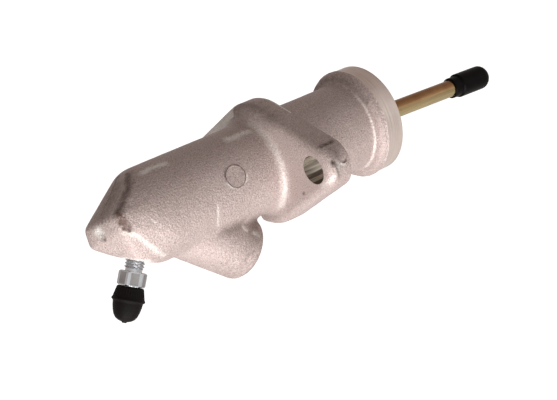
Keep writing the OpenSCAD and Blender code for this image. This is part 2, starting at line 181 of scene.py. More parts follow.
# Cast body
# One aluminium gravity casting: the barrel, its two-eared flange, the inlet boss and the drawn-in
# closed end. The blank is blended where its forms meet, then the faces, bores and ports are cut.
bore_r, snap_groove_r, recess_r, collar_r = 14.3, 15.5, 20.0, 24.6
floor_x, shoulder_x, recess_x, front_x = -64.2, 44.8, 45.4, 54.4
flange_t, far_step, hub_r, ear_r, ear_y, bolt_r = 11.0, 3.4, 27.2, 10.5, 39.5, 6.0
inlet_thread_r, passage_r, bleed_hole_r, spot_face_r = 6.0, 2.0, 4.05, 6.37
on_bore = Matrix.Rotation(math.radians(90), 4, "Y")
on_inlet = Matrix.Translation((-27.2, 0, -31.7)) @ Matrix.Rotation(math.radians(131), 4, "Y")
on_bleed = Matrix.Translation((-80.8, -6, -12.9)) @ Matrix.Rotation(math.radians(211), 4, "Y")


def spin(name, path, place, turns=96, closed=False, shape=None):
    """A turned piece. path holds [radius, height] points in millimetres, inside to outside."""
    rings = []
    verts, faces = [], []
    for r, z in path:
        if r < 1e-6:
            rings.append([len(verts)])
            verts.append((0, 0, z))
            continue
        rings.append(list(range(len(verts), len(verts) + turns)))
        for k in range(turns):
            a = 2 * math.pi * k / turns
            q = shape(r, z, a) if shape else r
            verts.append((q * math.cos(a), q * math.sin(a), z))
    pairs = list(zip(rings, rings[1:])) + ([(rings[-1], rings[0])] if closed else [])
    for low, high in pairs:
        for k in range(turns):
            n = (k + 1) % turns
            if len(low) == 1:
                faces.append((low[0], high[n], high[k]))
            elif len(high) == 1:
                faces.append((low[k], low[n], high[0]))
            else:
                faces.append((low[k], low[n], high[n], high[k]))
    mesh = bpy.data.meshes.new(name)
    mesh.from_pydata([tuple(0.001 * c for c in place @ Vector(v)) for v in verts], [], faces)
    edit = bmesh.new()
    edit.from_mesh(mesh)
    bmesh.ops.recalc_face_normals(edit, faces=edit.faces)
    edit.to_mesh(mesh)
    edit.free()
    return placed(name, mesh)


def bar(name, r, z0, z1, place, turns=64):
    """A plain round bar between two heights."""
    return spin(name, [(0, z0), (r, z0), (r, z1), (0, z1)], place, turns)


def applied(piece, kind, **values):
    """Adds a modifier, applies it and takes it off."""
    step = piece.modifiers.new(kind.lower(), kind)
    for key, value in values.items():
        setattr(step, key, value)
    bpy.context.view_layer.update()
    changed = piece.evaluated_get(bpy.context.evaluated_depsgraph_get())
    mesh = bpy.data.meshes.new_from_object(changed)
    piece.modifiers.remove(step)
    old = piece.data
    piece.data = mesh
    bpy.data.meshes.remove(old)


def cut(piece, tool, operation="DIFFERENCE"):
    """Cuts a piece by a tool, or joins it with UNION, and takes the tool away."""
    applied(piece, "BOOLEAN", operation=operation, object=tool, solver="MANIFOLD")
    bpy.data.objects.remove(tool)


def rhomb(name, x0, x1):
    """The flange's outline between two planes: one round hub and two round ears."""
    edit = bmesh.new()
    for x in (x0, x1):
        for centre, r, count in ((0, hub_r, 120), (ear_y, ear_r, 60), (-ear_y, ear_r, 60)):
            for k in range(count):
                a = 2 * math.pi * k / count
                edit.verts.new((0.001 * x, 0.001 * (centre + r * math.cos(a)),
                                0.001 * r * math.sin(a)))
    bmesh.ops.convex_hull(edit, input=edit.verts)
    loose = [v for v in edit.verts if not v.link_faces]
    bmesh.ops.delete(edit, geom=loose, context="VERTS")
    mesh = bpy.data.meshes.new(name)
    edit.to_mesh(mesh)
    edit.free()
    return placed(name, mesh)


# The blank starts from the body's solid, with stock over what is machined and every bore filled.
stock = [
    bar("bore_stock", 15.9, floor_x - 3, recess_x, on_bore),
    bar("mouth_stock", 22.0, recess_x - 1, front_x + 1.2, on_bore),
    spin("collar_stock", [(21, 45.2), (collar_r + 1, 45.2), (collar_r + 1, 55.6), (21, 55.6)],
         on_bore, closed=True),
    rhomb("seat_stock", -5.0, 4.5),
    bar("inlet_stock", 10.2, -20, 0.8, on_inlet),
    bar("bleed_stock", 4.6, -16, 0, on_bleed)]
for y, back in ((-ear_y, -flange_t), (ear_y, far_step - flange_t)):
    on_ear = Matrix.Translation((0, y, 0)) @ on_bore
    stock.append(bar("hole_stock", bolt_r + 0.6, back, 1.2, on_ear))
blank = bmesh.new()
blank.from_mesh(nodes["cylinder_body"].data)
bmesh.ops.remove_doubles(blank, verts=blank.verts, dist=2e-6)
for piece in stock:
    blank.from_mesh(piece.data)
    bpy.data.objects.remove(piece)
cast_mesh = bpy.data.meshes.new("cast_body")
blank.to_mesh(cast_mesh)
blank.free()
cast_body = placed("cast_body", cast_mesh)
applied(cast_body, "REMESH", mode="VOXEL", voxel_size=0.00064)


def triples(items, name):
    """One value of three numbers for each point or face of a mesh."""
    values = np.empty(len(items) * 3)
    items.foreach_get(name, values)
    return values.reshape(-1, 3)


def points_of(mesh):
    """A mesh's points in millimetres."""
    return triples(mesh.vertices, "co") * 1000


def move_points(mesh, points):
    """Puts a mesh's points at new places in millimetres."""
    mesh.vertices.foreach_set("co", (points / 1000).ravel())
    mesh.update()


def blended(piece, rounds, hollow, proud):
    """Relaxes a mesh. Hollow corners fill by one share at each round, proud edges wear by another.
    The step of the far ear and the root of the collar stay crisp."""
    mesh = piece.data
    points = points_of(mesh)
    x, y, off = points[:, 0], points[:, 1], np.hypot(points[:, 1], points[:, 2])
    far_ear = (y > 4) & (x < -5.5) & (x > -12) & (off > 21)
    collar, crisp = x > 37.5, 0.15
    loose = np.where(far_ear | collar, crisp, 1.0)[:, None]
    ends = np.empty(len(mesh.edges) * 2, dtype=np.int64)
    mesh.edges.foreach_get("vertices", ends)
    a, b = ends.reshape(-1, 2).T
    count = np.bincount(np.r_[a, b], minlength=len(points))[:, None]
    normals = triples(mesh.vertices, "normal")
    for _ in range(rounds):
        total = np.zeros_like(points)
        np.add.at(total, a, points[b])
        np.add.at(total, b, points[a])
        move = total / count - points
        out = (move * normals).sum(1, keepdims=True)
        points += loose * move * np.where(out > 0, hollow, proud)
    move_points(mesh, points)


blended(cast_body, rounds=22, hollow=0.5, proud=0.16)


def near(points, line, reach, rag=0.35):
    """1 on a line of points and 0 beyond a ragged distance from it, all in millimetres."""
    rag_step, furthest = 0.9, 1.6 * reach
    ends = [np.array(p, float) for p in line]
    gap = np.full(len(points), 1e9)
    for a, b in zip(ends, ends[1:] or ends):
        d = b - a
        t = np.clip((points - a) @ d / max(d @ d, 1e-9), 0, 1)
        gap = np.minimum(gap, np.linalg.norm(points - a - t[:, None] * d, axis=1))
    for k in np.flatnonzero(gap < furthest):
        gap[k] *= 1 + rag * 2 * noise.noise(Vector(points[k]) * rag_step)
    share = np.clip(1 - gap / reach, 0, 1)
    return share * share * (3 - 2 * share)


def raised(piece, lines):
    """Moves the skin out along lines of points, or in where the height is below zero.
    The whole skin also gets the slow waves of its mould."""
    mesh = piece.data
    points = points_of(mesh)
    slow, slow_step, quick, quick_step = 0.07, 0.15, 0.03, 0.52
    lift = np.array([slow * noise.noise(p * slow_step) + quick * noise.noise(p * quick_step)
                     for p in map(Vector, points)])
    for line, reach, height in lines:
        lift += height * near(points, line, reach, rag=0.2)
    points += triples(mesh.vertices, "normal") * lift[:, None]
    points[:, 1] = np.clip(points[:, 1], -ear_y - ear_r, ear_y + ear_r)
    move_points(mesh, points)


# The skin keeps the mould's slow waves, its parting seam, and the dents and scrapes of handling.
# Each mark is a line of points in millimetres, or a single spot. Some of these lines only place
# painted shade and painted highlights.
nose_seam = [(-72.5, 4.2, 18), (-73.9, 3.2, 17.3), (-80.7, -1.4, 13.8), (-86.7, -4.9, 10.5),
             (-92.4, -7.6, 6.3)]
nose_face = [(-78, -2, 14), (-85, -6, 9)]
# Painted shade along the edge between the barrel's side and the nose's sloped face.
nose_edge_shade = [(-71.6, -2.8, 19.2), (-77.2, -11.1, 16.3), (-82, -13.7, 13.8), (-84.9, -15.7, 11.7),
             (-88.9, -16.5, 9.3)]
nose_strokes = [[Vector(a).lerp(Vector(b), share) for a, b in zip(nose_seam[1:], nose_edge_shade[1:])]
                for share in (0.2, 0.4, 0.6, 0.8)]
rust_spot = [(-87.8, -17.6, 9), (-87.2, -17.9, 6.4), (-86.8, -17.9, 3.3)]
rust_pits = [[(-88.4, -17.5, 6.2)], [(-87.9, -17.7, 3.7)], [(-85.7, -17.9, 2.5)]]
# The nose chip is a real dent of bare metal, painted near white as a painted highlight.
nose_chip, nose_pit = [(-92.8, -7.2, 3.2)], [(-92.5, -8.2, 0.6)]
# Painted highlight along the lower edge of the nose's heel.
heel_highlight = [(-88, -17.5, 3), (-82.2, -17.2, -1.9), (-77.9, -16.1, -7.9), (-72.3, -13.7, -14.3)]
top_scrapes = [[(-67.8, -7.7, 18.4), (-64, -7.1, 18.7), (-60.3, -7.3, 18.6), (-57.3, -7.8, 18.4)],
               [(-26.5, -9.2, 17.8), (-22.5, -9.4, 17.7), (-19.1, -9.1, 17.8), (-16.1, -9.4, 17.6)]]
side_scrapes = [[(-76.1, -19.3, 2.6), (-75.2, -19.2, 1.0)],
                [(-46.4, -19.8, -2.9), (-47, -18.7, -7), (-46.8, -16.3, -11.5)],
                [(-73.6, -19.6, -1.2)]]
inlet_dings = [[(-33.1, -12.4, -18.2), (-31.7, -12.6, -20.1)],
               [(-28.5, -12.4, -22.3), (-26.6, -12.5, -24.4)]]
# Painted shade on the upper right flank of the inlet boss, under the flange.
inlet_flank_shade = [(-28, -12.5, -23), (-25.9, -10.6, -21), (-23.9, -6.9, -18.7)]
# Painted shade on the inlet's port face and round its mouth, which dulls the lamp's highlight
# there.
inlet_face_shade = [(-31, 0, -28.4)]
# Painted shadow of the barrel along the top of the inlet boss.
inlet_root_shadow = [(-43, -13, -15.2), (-38, -13, -15.8), (-33.5, -13, -16)]
inlet_pits = [[(-48.5, -6.8, -29.4)], [(-45.7, -9.3, -29.4)], [(-41.5, -7.8, -34.5)]]
flange_pit = [(-11, -28.9, -10.2)]


def ring_line(x, r, start, end, count):
    """Points round the barrel, by angles from its top towards the near side."""
    return [(x, -r * math.sin(a), r * math.cos(a)) for a in np.linspace(start, end, count)]


# Painted highlight along the fillet between the barrel and the flange.
flange_cove_highlight = ring_line(x=-12.8, r=21.2, start=0.3, end=2.5, count=16)
# Painted shade on the top of the flange's rear face.
flange_top_shade = [(-10, -17, 21), (-10, -6, 25.5), (-10, 5, 25.5)]
ear_seam = [(-8.4, -48.7, 4.7), (-8, -49.4, 2.9), (-7.8, -49.9, -0.1), (-7.3, -49.3, -3.6)]
ear_notch, ear_notch_foot = ear_seam[1], (-7.9, -49.7, 1.4)
ear_shade = [(-5.5, -47.3, 6.8), (-4.8, -49.2, 4)]
ear_parting = [(-7.7, -49.8, 0), (-7.6, -49.8, -1.5), (-7.3, -49.3, -3.6)]
dimple_lip = [(-4.9, -49.9, 1), (-3.2, -50, 0.2)]
ear_tear = [(-7.7, -44.1, 9.4), (-5.2, -44.3, 9.3), (-2.6, -44.4, 9.3)]
# Painted highlight along the near ear's lower edge.
ear_edge_highlight = [(-10.9, -42.5, -6.4), (-10.2, -47.4, -4.3), (-7.7, -49.7, -1.8), (-6.5, -49.8, 2)]
# Painted highlight along the rim of the seating face.
seat_rim_highlight = [(-0.2, 3, 27), (-0.2, -4, 26.9), (-0.2, -11.5, 24.6), (-0.2, -20, 20.7)]
far_ear_face = [(-7.6, 30.7, 14.2), (-7.6, 21.1, 18), (-7.6, 12.5, 21.7)]
# Painted shade along the corner of the far ear's step.
far_ear_step_shade = [(-9, 6.5, 21), (-9, 6.5, 26.5)]
# Painted highlight along the collar's root on its lit lower side.
collar_root_highlight = ring_line(x=40.9, r=20.3, start=0.75, end=2.7, count=18)
# Painted shade in the cove at the top of the collar's rear face.
collar_cove_shade = ring_line(x=42.4, r=22.0, start=-0.75, end=1.0, count=16)
raised(cast_body, [(nose_seam, 1.3, 0.22), (ear_seam, 1.1, 0.3),
                   (nose_pit, 1.3, -1.1), (nose_chip, 2.2, -0.35), (flange_pit, 1.2, -0.6),
                   (ear_tear, 1.2, -0.5), ([ear_notch], 1.1, -0.7)]
       + [(spot, 1.0, -0.55) for spot in rust_pits + inlet_pits]
       + [(line, 1.2, -0.16) for line in top_scrapes + side_scrapes + inlet_dings])

# An ejector pin left its flat round face on the near side, and the near ear has a small dimple.
pin_x, pin_r, pin_face_r, dimple_r = -34.0, 4.5, 19.74, 1.8
pin_place = Matrix.Translation((pin_x, 0, 0)) @ Matrix.Rotation(math.radians(75), 4, "X")
cut(cast_body, bar("pin_boss", pin_r, 15, pin_face_r, pin_place), "UNION")
cut(cast_body, bar("pin_face", pin_r, pin_face_r, 24, pin_place))
cut(cast_body, spin("pin_groove", [(pin_r - 0.1, 19), (pin_r + 0.35, 19), (pin_r + 0.35, 23),
                                   (pin_r - 0.1, 23)], pin_place, closed=True))
dimple_place = Matrix.Translation((-3, -49.9, 2.4)) @ Matrix.Rotation(math.radians(94), 4, "X")
cut(cast_body, bar("dimple", dimple_r, -0.5, 2, dimple_place))

# The bore with its grooves, the spigot, the seating face, the bolt holes and both ports are cut.
# A small fillet stays where the spigot meets the seating face.
snap_from, snap_to = 39.4, 40.7
boot_from, boot_to, boot_groove_r = 48.2, 51.2, 21.5
cut(cast_body, spin("bore_tool", [
    (0, floor_x - 2), (8, floor_x - 2), (8, floor_x), (bore_r - 1.4, floor_x),
    (bore_r, floor_x + 1.4), (bore_r, snap_from), (snap_groove_r, snap_from),
    (snap_groove_r, snap_to), (bore_r, snap_to), (bore_r, recess_x - 0.8),
    (bore_r + 0.8, recess_x), (recess_r, recess_x), (recess_r, boot_from),
    (boot_groove_r, boot_from), (boot_groove_r, boot_to), (recess_r, boot_to),
    (recess_r, 53.4), (21, front_x), (21, 58), (0, 58)], on_bore, turns=128))
cut(cast_body, spin("collar_tool", [
    (20.8, front_x), (collar_r - 0.6, front_x), (collar_r, front_x - 0.6), (collar_r, shoulder_x),
    (31, shoulder_x), (31, 57), (20.8, 57)], on_bore, turns=160, closed=True))
fillet_r, fillet_w, fillet_h = 21.2, 1.05, 1.2
fillet = [(fillet_r - fillet_w * math.sin(math.radians(a)),
           fillet_h - fillet_h * math.cos(math.radians(a))) for a in range(0, 91, 15)]
cut(cast_body, spin("seat_tool", fillet + [(20.05, 9), (60, 9), (60, 0)], on_bore, turns=128,
                    closed=True))
bolt_hole = [(0, -14), (bolt_r, -14), (bolt_r, -0.4), (bolt_r + 0.9, 0.5), (0, 0.5)]
for y in (-ear_y, ear_y):
    on_ear = Matrix.Translation((0, y, 0)) @ on_bore
    cut(cast_body, spin("bolt_tool", bolt_hole, on_ear, turns=72))


def thread(pitch, depth, start, end, fade=1.0):
    """Radius rule for spin(): a right-hand V thread cut between two heights."""
    def rule(r, z, a):
        wave = abs(2 * ((z / pitch - a / (2 * math.pi)) % 1) - 1)
        ends = min(1, max(0, (z - start) / fade), max(0, (end - z) / fade))
        return r - depth * ends * min(1, max(0, 1.25 * wave - 0.12))
    return rule


def steps(low, high, step):
    """Heights from low to high, about a step apart."""
    count = max(1, round((high - low) / step))
    return [low + (high - low) * k / count for k in range(count + 1)]


cut(cast_body, bar("inlet_face_tool", 14.5, 0, 3, on_inlet))
inlet_thread = thread(pitch=1.0, depth=0.55, start=-13, end=1)
cut(cast_body, spin("inlet_tool", [(0, -20), (4, -20), (4, -15.5), (6.3, -15.5), (6.3, -13.1)]
                    + [(inlet_thread_r, z) for z in steps(-13, -0.5, 0.125)]
                    + [(6.6, 0.3), (0, 0.3)], on_inlet, turns=72,
                    shape=lambda r, z, a: inlet_thread(r, z, a) if r == inlet_thread_r else r))
cut(cast_body, bar("passage_tool", passage_r, -35, -18, on_inlet))
cut(cast_body, bar("spot_tool", spot_face_r, 0, 6, on_bleed))
cut(cast_body, bar("bleed_tool", bleed_hole_r, -12, 1, on_bleed))
cut(cast_body, spin("bleed_cone_tool", [(0, -14.6), (1.6, -14.6), (3.4, -11.9), (0, -11.9)],
                    on_bleed))


def node_group(name, takes, gives):
    """A shader group with named values going in and named masks or heights coming out."""
    tree = bpy.data.node_groups.new(name, "ShaderNodeTree")
    number = "NodeSocketFloat"
    for label, value in takes:
        socket = tree.interface.new_socket(label, in_out="INPUT", socket_type=number)
        socket.default_value = value
    for label in gives:
        tree.interface.new_socket(label, in_out="OUTPUT", socket_type=number)
    ways_in, ways_out = tree.nodes.new("NodeGroupInput"), tree.nodes.new("NodeGroupOutput")
    return tree, ways_in.outputs, ways_out.inputs


def sized(tree, size):
    """The piece's own coordinates, in steps of a size in millimetres."""
    place = put(tree, "TexCoord").outputs["Object"]
    per_metre = math_of(tree, "DIVIDE", 1000.0, size)
    return put(tree, "VectorMath", {0: place, "Scale": per_metre}, operation="SCALE").outputs[0]


blast, takes, gives = node_group("blasted_grain", [("Size", 0.5)], ["Height", "Fleck", "Pit"])
spot = sized(blast, takes["Size"])
fine = put(blast, "TexNoise", {"Vector": spot, "Scale": 1.0, "Detail": 3.0,
                               "Roughness": 0.65}).outputs[0]
cells = put(blast, "TexVoronoi", {"Vector": spot, "Scale": 0.62}, feature="SMOOTH_F1")
both = math_of(blast, "ADD", fine, spread(blast, cells.outputs["Distance"], 0.1, 0.75))
blast.links.new(spread(blast, both, 0.4, 1.5), gives["Height"])
blast.links.new(spread(blast, fine, 0.36, 0.64), gives["Fleck"])
holes = put(blast, "TexVoronoi", {"Vector": spot, "Scale": 0.16})
blast.links.new(spread(blast, holes.outputs["Distance"], 0.16, 0.05), gives["Pit"])

cloud, takes, gives = node_group("cloudy", [("Size", 12.0), ("Contrast", 0.5)], ["Mask"])
drift = put(cloud, "TexNoise", {"Vector": sized(cloud, takes["Size"]), "Scale": 1.0,
                                "Detail": 4.0, "Roughness": 0.55}).outputs[0]
half = math_of(cloud, "MULTIPLY", takes["Contrast"], 0.5)
cloud.links.new(spread(cloud, drift, math_of(cloud, "SUBTRACT", 0.5, half),
                       math_of(cloud, "ADD", 0.5, half)), gives["Mask"])

lathe, takes, gives = node_group("turned_rings", [("Pitch", 0.25)], ["Height", "Ring"])
parts = put(lathe, "SeparateXYZ", {0: put(lathe, "TexCoord").outputs["Object"]}).outputs
off_axis = math_of(lathe, "ARCTAN2", parts["Y"], parts["Z"])
across = put(lathe, "CombineXYZ", {"Y": parts["Y"], "Z": parts["Z"]}).outputs[0]
radius = put(lathe, "VectorMath", {0: across}, operation="LENGTH").outputs["Value"]
along = math_of(lathe, "ADD", parts["X"], radius)
feed = math_of(lathe, "MULTIPLY", along, math_of(lathe, "DIVIDE", 1000.0, takes["Pitch"]))
line = put(lathe, "CombineXYZ", {"X": feed, "Y": off_axis}).outputs[0]
cuts = put(lathe, "TexNoise", {"Vector": line, "Scale": 1.0, "Detail": 2.0}).outputs[0]
lathe.links.new(cuts, gives["Height"])
lathe.links.new(spread(lathe, cuts, 0.3, 0.7), gives["Ring"])


def finish_named(name, metallic, roughness):
    """A material and its shader, with the metal and shine that are even all over."""
    material = bpy.data.materials.new(name)
    material.use_nodes = True
    shader = material.node_tree.nodes["Principled BSDF"].inputs
    shader["Metallic"].default_value = metallic
    shader["Roughness"].default_value = roughness
    return material, material.node_tree, shader


def grouped(tree, group, **values):
    """A shader group placed in a material with its own values."""
    box = tree.nodes.new("ShaderNodeGroup")
    box.node_tree = group
    for key, value in values.items():
        box.inputs[key].default_value = value
    return box.outputs


def bumped(tree, shader, height, strength, distance, under=None):
    """Feeds a height to the shader's normal, over another one if it is given."""
    inputs = {"Height": height, "Strength": strength, "Distance": distance}
    if under:
        inputs["Normal"] = under
    tree.links.new(put(tree, "Bump", inputs).outputs["Normal"], shader["Normal"])


def mark(tree, name):
    """One of the values that the skin's points carry."""
    return put(tree, "Attribute", attribute_name=name, attribute_type="GEOMETRY").outputs["Fac"]


cast_skin, tree, shader = finish_named("cast_skin", metallic=0.3, roughness=0.52)
grain = grouped(tree, blast, Size=0.44)
wide = grouped(tree, cloud, Size=14.0, Contrast=0.45)["Mask"]
small = grouped(tree, cloud, Size=2.2, Contrast=0.5)["Mask"]
dark_fleck, light_fleck = (0.32, 0.24, 0.22), (0.73, 0.605, 0.575)
dull_cloud, pale_cloud, pit_dark = (0.40, 0.3, 0.27), (0.68, 0.56, 0.52), (0.14, 0.1, 0.09)
bare_and_highlight_white, dirt_and_shade_brown, rust_brown = (1.0, 0.97, 0.91), (0.075, 0.046, 0.033), (0.09, 0.032, 0.016)
skin = mixed(tree, grain["Fleck"], dark_fleck, light_fleck)
skin = mixed(tree, spread(tree, wide, 0, 1, 0, 0.3), skin, dull_cloud)
skin = mixed(tree, spread(tree, small, 0, 1, 0, 0.16), skin, pale_cloud)
skin = mixed(tree, math_of(tree, "MULTIPLY", grain["Pit"], 0.4), skin, pit_dark)
blotch = spread(tree, small, 0.1, 0.7, 0.55, 1.0)
# The darkening value holds real dirt in pits, tears and seams, and painted shade in coves and under
# overhangs.
grime_and_shade = math_of(tree, "MULTIPLY", mark(tree, "grime_and_shade"), blotch)
speckled = math_of(tree, "MULTIPLY", blotch, spread(tree, grain["Fleck"], 0.2, 0.9, 1.0, 0.75))
# The brightening value holds bare metal at scrapes, chips and the far ear's step face, and painted
# highlights along edges and fillets.
bare_and_highlight = math_of(tree, "MULTIPLY", mark(tree, "bare_and_highlight"), spread(tree, grain["Fleck"], 0, 0.8, 0.6, 1.0))
bare_and_highlight = math_of(tree, "MULTIPLY", bare_and_highlight, spread(tree, grime_and_shade, 0.5, 0.9, 1.0, 0.0))
skin = mixed(tree, bare_and_highlight, skin, bare_and_highlight_white)
skin = mixed(tree, grime_and_shade, skin, dirt_and_shade_brown)
skin = mixed(tree, math_of(tree, "MULTIPLY", mark(tree, "rust"), speckled), skin, rust_brown)
tree.links.new(skin, shader["Base Color"])
rough = spread(tree, small, 0, 1, 0.48, 0.6)
rough = math_of(tree, "SUBTRACT", rough, math_of(tree, "MULTIPLY", bare_and_highlight, 0.2))
rough = math_of(tree, "ADD", rough, math_of(tree, "MULTIPLY", grime_and_shade, 0.3))
tree.links.new(rough, shader["Roughness"])
tree.links.new(spread(tree, grime_and_shade, 0.3, 0.9, 0.3, 0.0), shader["Metallic"])
under = put(tree, "Bump", {"Height": small, "Strength": 0.12, "Distance": 0.0004}).outputs["Normal"]
bumped(tree, shader, grain["Height"], strength=0.75, distance=0.0002, under=under)

cut_metal, tree, shader = finish_named("cut_metal", metallic=0.65, roughness=0.36)
rings = grouped(tree, lathe, Pitch=0.22)
haze = grouped(tree, cloud, Size=6.0, Contrast=0.6)["Mask"]
bright = mixed(tree, rings["Ring"], (0.6, 0.5, 0.44), (0.88, 0.76, 0.69))
bright = mixed(tree, spread(tree, haze, 0, 1, 0, 0.35), bright, (0.42, 0.35, 0.32))
# Painted shade: the darkening value also darkens the inlet's port face and thread.
bright = mixed(tree, mark(tree, "grime_and_shade"), bright, (0.16, 0.12, 0.1))
tree.links.new(bright, shader["Base Color"])
rough = math_of(tree, "ADD", spread(tree, haze, 0, 1, 0.3, 0.44),
                math_of(tree, "MULTIPLY", mark(tree, "grime_and_shade"), 0.3))
tree.links.new(rough, shader["Roughness"])
bumped(tree, shader, rings["Height"], strength=0.3, distance=0.00004)

along_grain, takes, gives = node_group("along_grain", [("Size", 2.4)], ["Height", "Mask"])
parts = put(along_grain, "SeparateXYZ", {0: sized(along_grain, takes["Size"])}).outputs
scored = put(along_grain, "CombineXYZ", {"X": math_of(along_grain, "MULTIPLY", parts["X"], 0.06),
                                         "Y": parts["Y"], "Z": parts["Z"]}).outputs[0]
score = put(along_grain, "TexNoise", {"Vector": scored, "Scale": 1.0, "Detail": 2.0}).outputs[0]
along_grain.links.new(score, gives["Height"])
along_grain.links.new(spread(along_grain, score, 0.4, 0.6), gives["Mask"])

hole_wall, tree, shader = finish_named("hole_wall", metallic=0.7, roughness=0.3)
scores = grouped(tree, along_grain, Size=2.4)
streaked = mixed(tree, scores["Mask"], (0.13, 0.1, 0.08), (0.78, 0.69, 0.57))
tree.links.new(streaked, shader["Base Color"])
tree.links.new(spread(tree, scores["Mask"], 0, 1, 0.45, 0.25), shader["Roughness"])
bumped(tree, shader, scores["Height"], strength=0.5, distance=0.0003)


# Marks of the skin are values on its points: a line or spot, how far it reaches and how strong. The
# darkening value holds real dirt and painted shade, and the brightening value holds bare metal and
# painted highlights.
def circle(place, r, z):
    """Points round a port or a pin, at a height along it."""
    return [place @ Vector((r * math.cos(a), r * math.sin(a), z))
            for a in np.linspace(0, 2 * math.pi, 25)]


# The rim of the pin's face gets painted shade on its upper half and a painted highlight on its
# lower half.
pin_arc = circle(pin_place, 5.05, pin_face_r + 0.1)
bleed_rim = circle(on_bleed, 7, 0.2)
skin_marks = {
    "grime_and_shade": [(nose_edge_shade, 3.2, 0.75), (nose_seam, 1.0, 0.8), (nose_face, 11, 0.46),
              (nose_pit, 2.3, 1), (flange_pit, 1.3, 1), (flange_top_shade, 8, 0.45),
              (collar_cove_shade, 3.2, 0.65), (far_ear_step_shade, 2.2, 0.9), (inlet_flank_shade, 9, 0.45),
              (inlet_face_shade, 21, 0.6), (inlet_root_shadow, 4.5, 0.5), (ear_tear, 1.7, 1),
              (ear_shade, 3.4, 0.4), ([ear_notch, ear_notch_foot], 1.9, 1),
              (ear_parting, 1.1, 0.95), (pin_arc[3:13], 0.6, 0.8)]
             + [(line, 0.9, 0.6) for line in nose_strokes]
             + [(spot, 1.9, 1) for spot in rust_pits] + [(spot, 1.0, 0.9) for spot in inlet_pits],
    "rust": [(rust_spot, 2.8, 1)],
    "bare_and_highlight": [(nose_chip, 3.8, 1), (bleed_rim, 1.7, 0.85), (heel_highlight, 1.8, 0.55),
             (ear_edge_highlight, 1.8, 0.4), (dimple_lip, 0.9, 0.8), (collar_root_highlight, 0.9, 0.6),
             (flange_cove_highlight, 3, 0.3), (far_ear_face, 8, 0.5), (seat_rim_highlight, 0.8, 0.85),
             (pin_arc[13:24], 0.6, 1)]
            + [(line, 2.6, 0.8) for line in top_scrapes]
            + [(line, 0.9, 0.6) for line in side_scrapes]
            + [(line, 1.3, 1) for line in inlet_dings]}
points = points_of(cast_body.data)
for name, lines in skin_marks.items():
    worn = np.zeros(len(points))
    for line, reach, strength in lines:
        worn = np.maximum(worn, strength * near(points, line, reach))
    cast_body.data.attributes.new(name, "FLOAT", "POINT").data.foreach_set("value", worn)


def seen_from(place, spots):
    """Distances from a port's axis, and heights along it."""
    turn = np.array(place.inverted())
    local = spots @ turn[:3, :3].T + turn[:3, 3]
    return np.hypot(local[:, 0], local[:, 1]), local[:, 2]


# The cut faces are told from the skin by where they lie.
hair = 0.03
faces = cast_body.data.polygons
spots, facing = triples(faces, "center") * 1000, triples(faces, "normal")
x, off = spots[:, 0], np.hypot(spots[:, 1], spots[:, 2])
from_bolt = np.hypot(np.abs(spots[:, 1]) - ear_y, spots[:, 2])
from_inlet, up_inlet = seen_from(on_inlet, spots)
from_bleed, up_bleed = seen_from(on_bleed, spots)
machined = (np.abs(x) < hair) & (facing[:, 0] > 0.9)
machined |= (x > floor_x - 2.1) & (x < recess_x + 0.1) & (off < snap_groove_r + 0.2)
machined |= (x > recess_x - 0.1) & (off < boot_groove_r + 0.2)
machined |= (x > shoulder_x - 0.05) & (off > 20.9)
machined |= (x > 0) & (x < fillet_h + 0.05) & (off < fillet_r + 0.2)
bolt_wall = (x > -12) & (x < 0.1) & (from_bolt < bolt_r + 0.95) & (np.abs(facing[:, 0]) < 0.9)
machined |= (up_inlet > -26) & (up_inlet < 0.35) & (from_inlet < 6.7)
machined |= (np.abs(up_inlet) < hair) & (from_inlet < 14)
machined |= (up_bleed > -15) & (up_bleed < hair) & (from_bleed < 6.5)
finishes = [cast_skin, cut_metal, hole_wall]
cast_body.data.materials.clear()
for material in finishes:
    cast_body.data.materials.append(material)
of_face = np.where(bolt_wall, finishes.index(hole_wall), machined)
faces.foreach_set("material_index", of_face.astype(np.int32))
cast_body.data.shade_smooth()
cast_body.data.set_sharp_from_angle(angle=math.radians(32))
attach(cast_body, "cylinder")
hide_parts("cylinder_body")

# Bleed screw
# Turned from steel and zinc plated: a rolled M8 thread with a cone that seals at its end, a 10 mm
# hexagon with painted shade on its flats, and a hollow nipple, which the rubber cap covers.
screw_r, neck_r, nipple_r = 4.0, 3.4, 3.2
hex_from, hex_to, hex_half = 4.9, 10.7, 5.0
hex_corner, hex_turn = hex_half / math.cos(math.radians(30)), math.radians(-18.75)
screw_thread = thread(pitch=1.25, depth=0.66, start=-11.95, end=4.1, fade=0.7)


def screw_section(r, z, a):
    """Radius rule for spin(): the flats of the hexagon, and the thread below it."""
    if r > screw_r and hex_from <= z <= hex_to:
        return min(r, hex_half / math.cos((a + hex_turn) % math.radians(60) - math.radians(30)))
    return screw_thread(r, z, a) if r == screw_r else r


chamfer_step = 0.13
chamfer = [(hex_half + (hex_corner - hex_half) * k / 4, chamfer_step * k) for k in range(5)]
screw_line = ([(0, -13.95), (2, -13.95), (neck_r, -11.95)]
              + [(screw_r, z) for z in steps(-11.9, 3.6, 0.125)]
              + [(neck_r, 3.75), (neck_r, hex_from)]
              + [(r, hex_from + z) for r, z in chamfer]
              + [(r, hex_to - z) for r, z in chamfer[::-1]]
              + [(2.8, hex_to), (2.8, 17.4), (nipple_r, 18), (nipple_r, 19), (2.3, 20.9),
                 (2, 21), (0, 21)])
bleed_screw = spin("bleed_screw_fine", screw_line, on_bleed, shape=screw_section)
drill_r, cross_drill_r, cross_drill_z = 1.2, 0.96, -8.6
across_screw = (on_bleed @ Matrix.Translation((0, 0, cross_drill_z))
                @ Matrix.Rotation(math.radians(90), 4, "X"))
cut(bleed_screw, bar("drilling", drill_r, -9, 23, on_bleed, turns=32))
cut(bleed_screw, bar("cross_drilling", cross_drill_r, -6, 6, across_screw, turns=32))


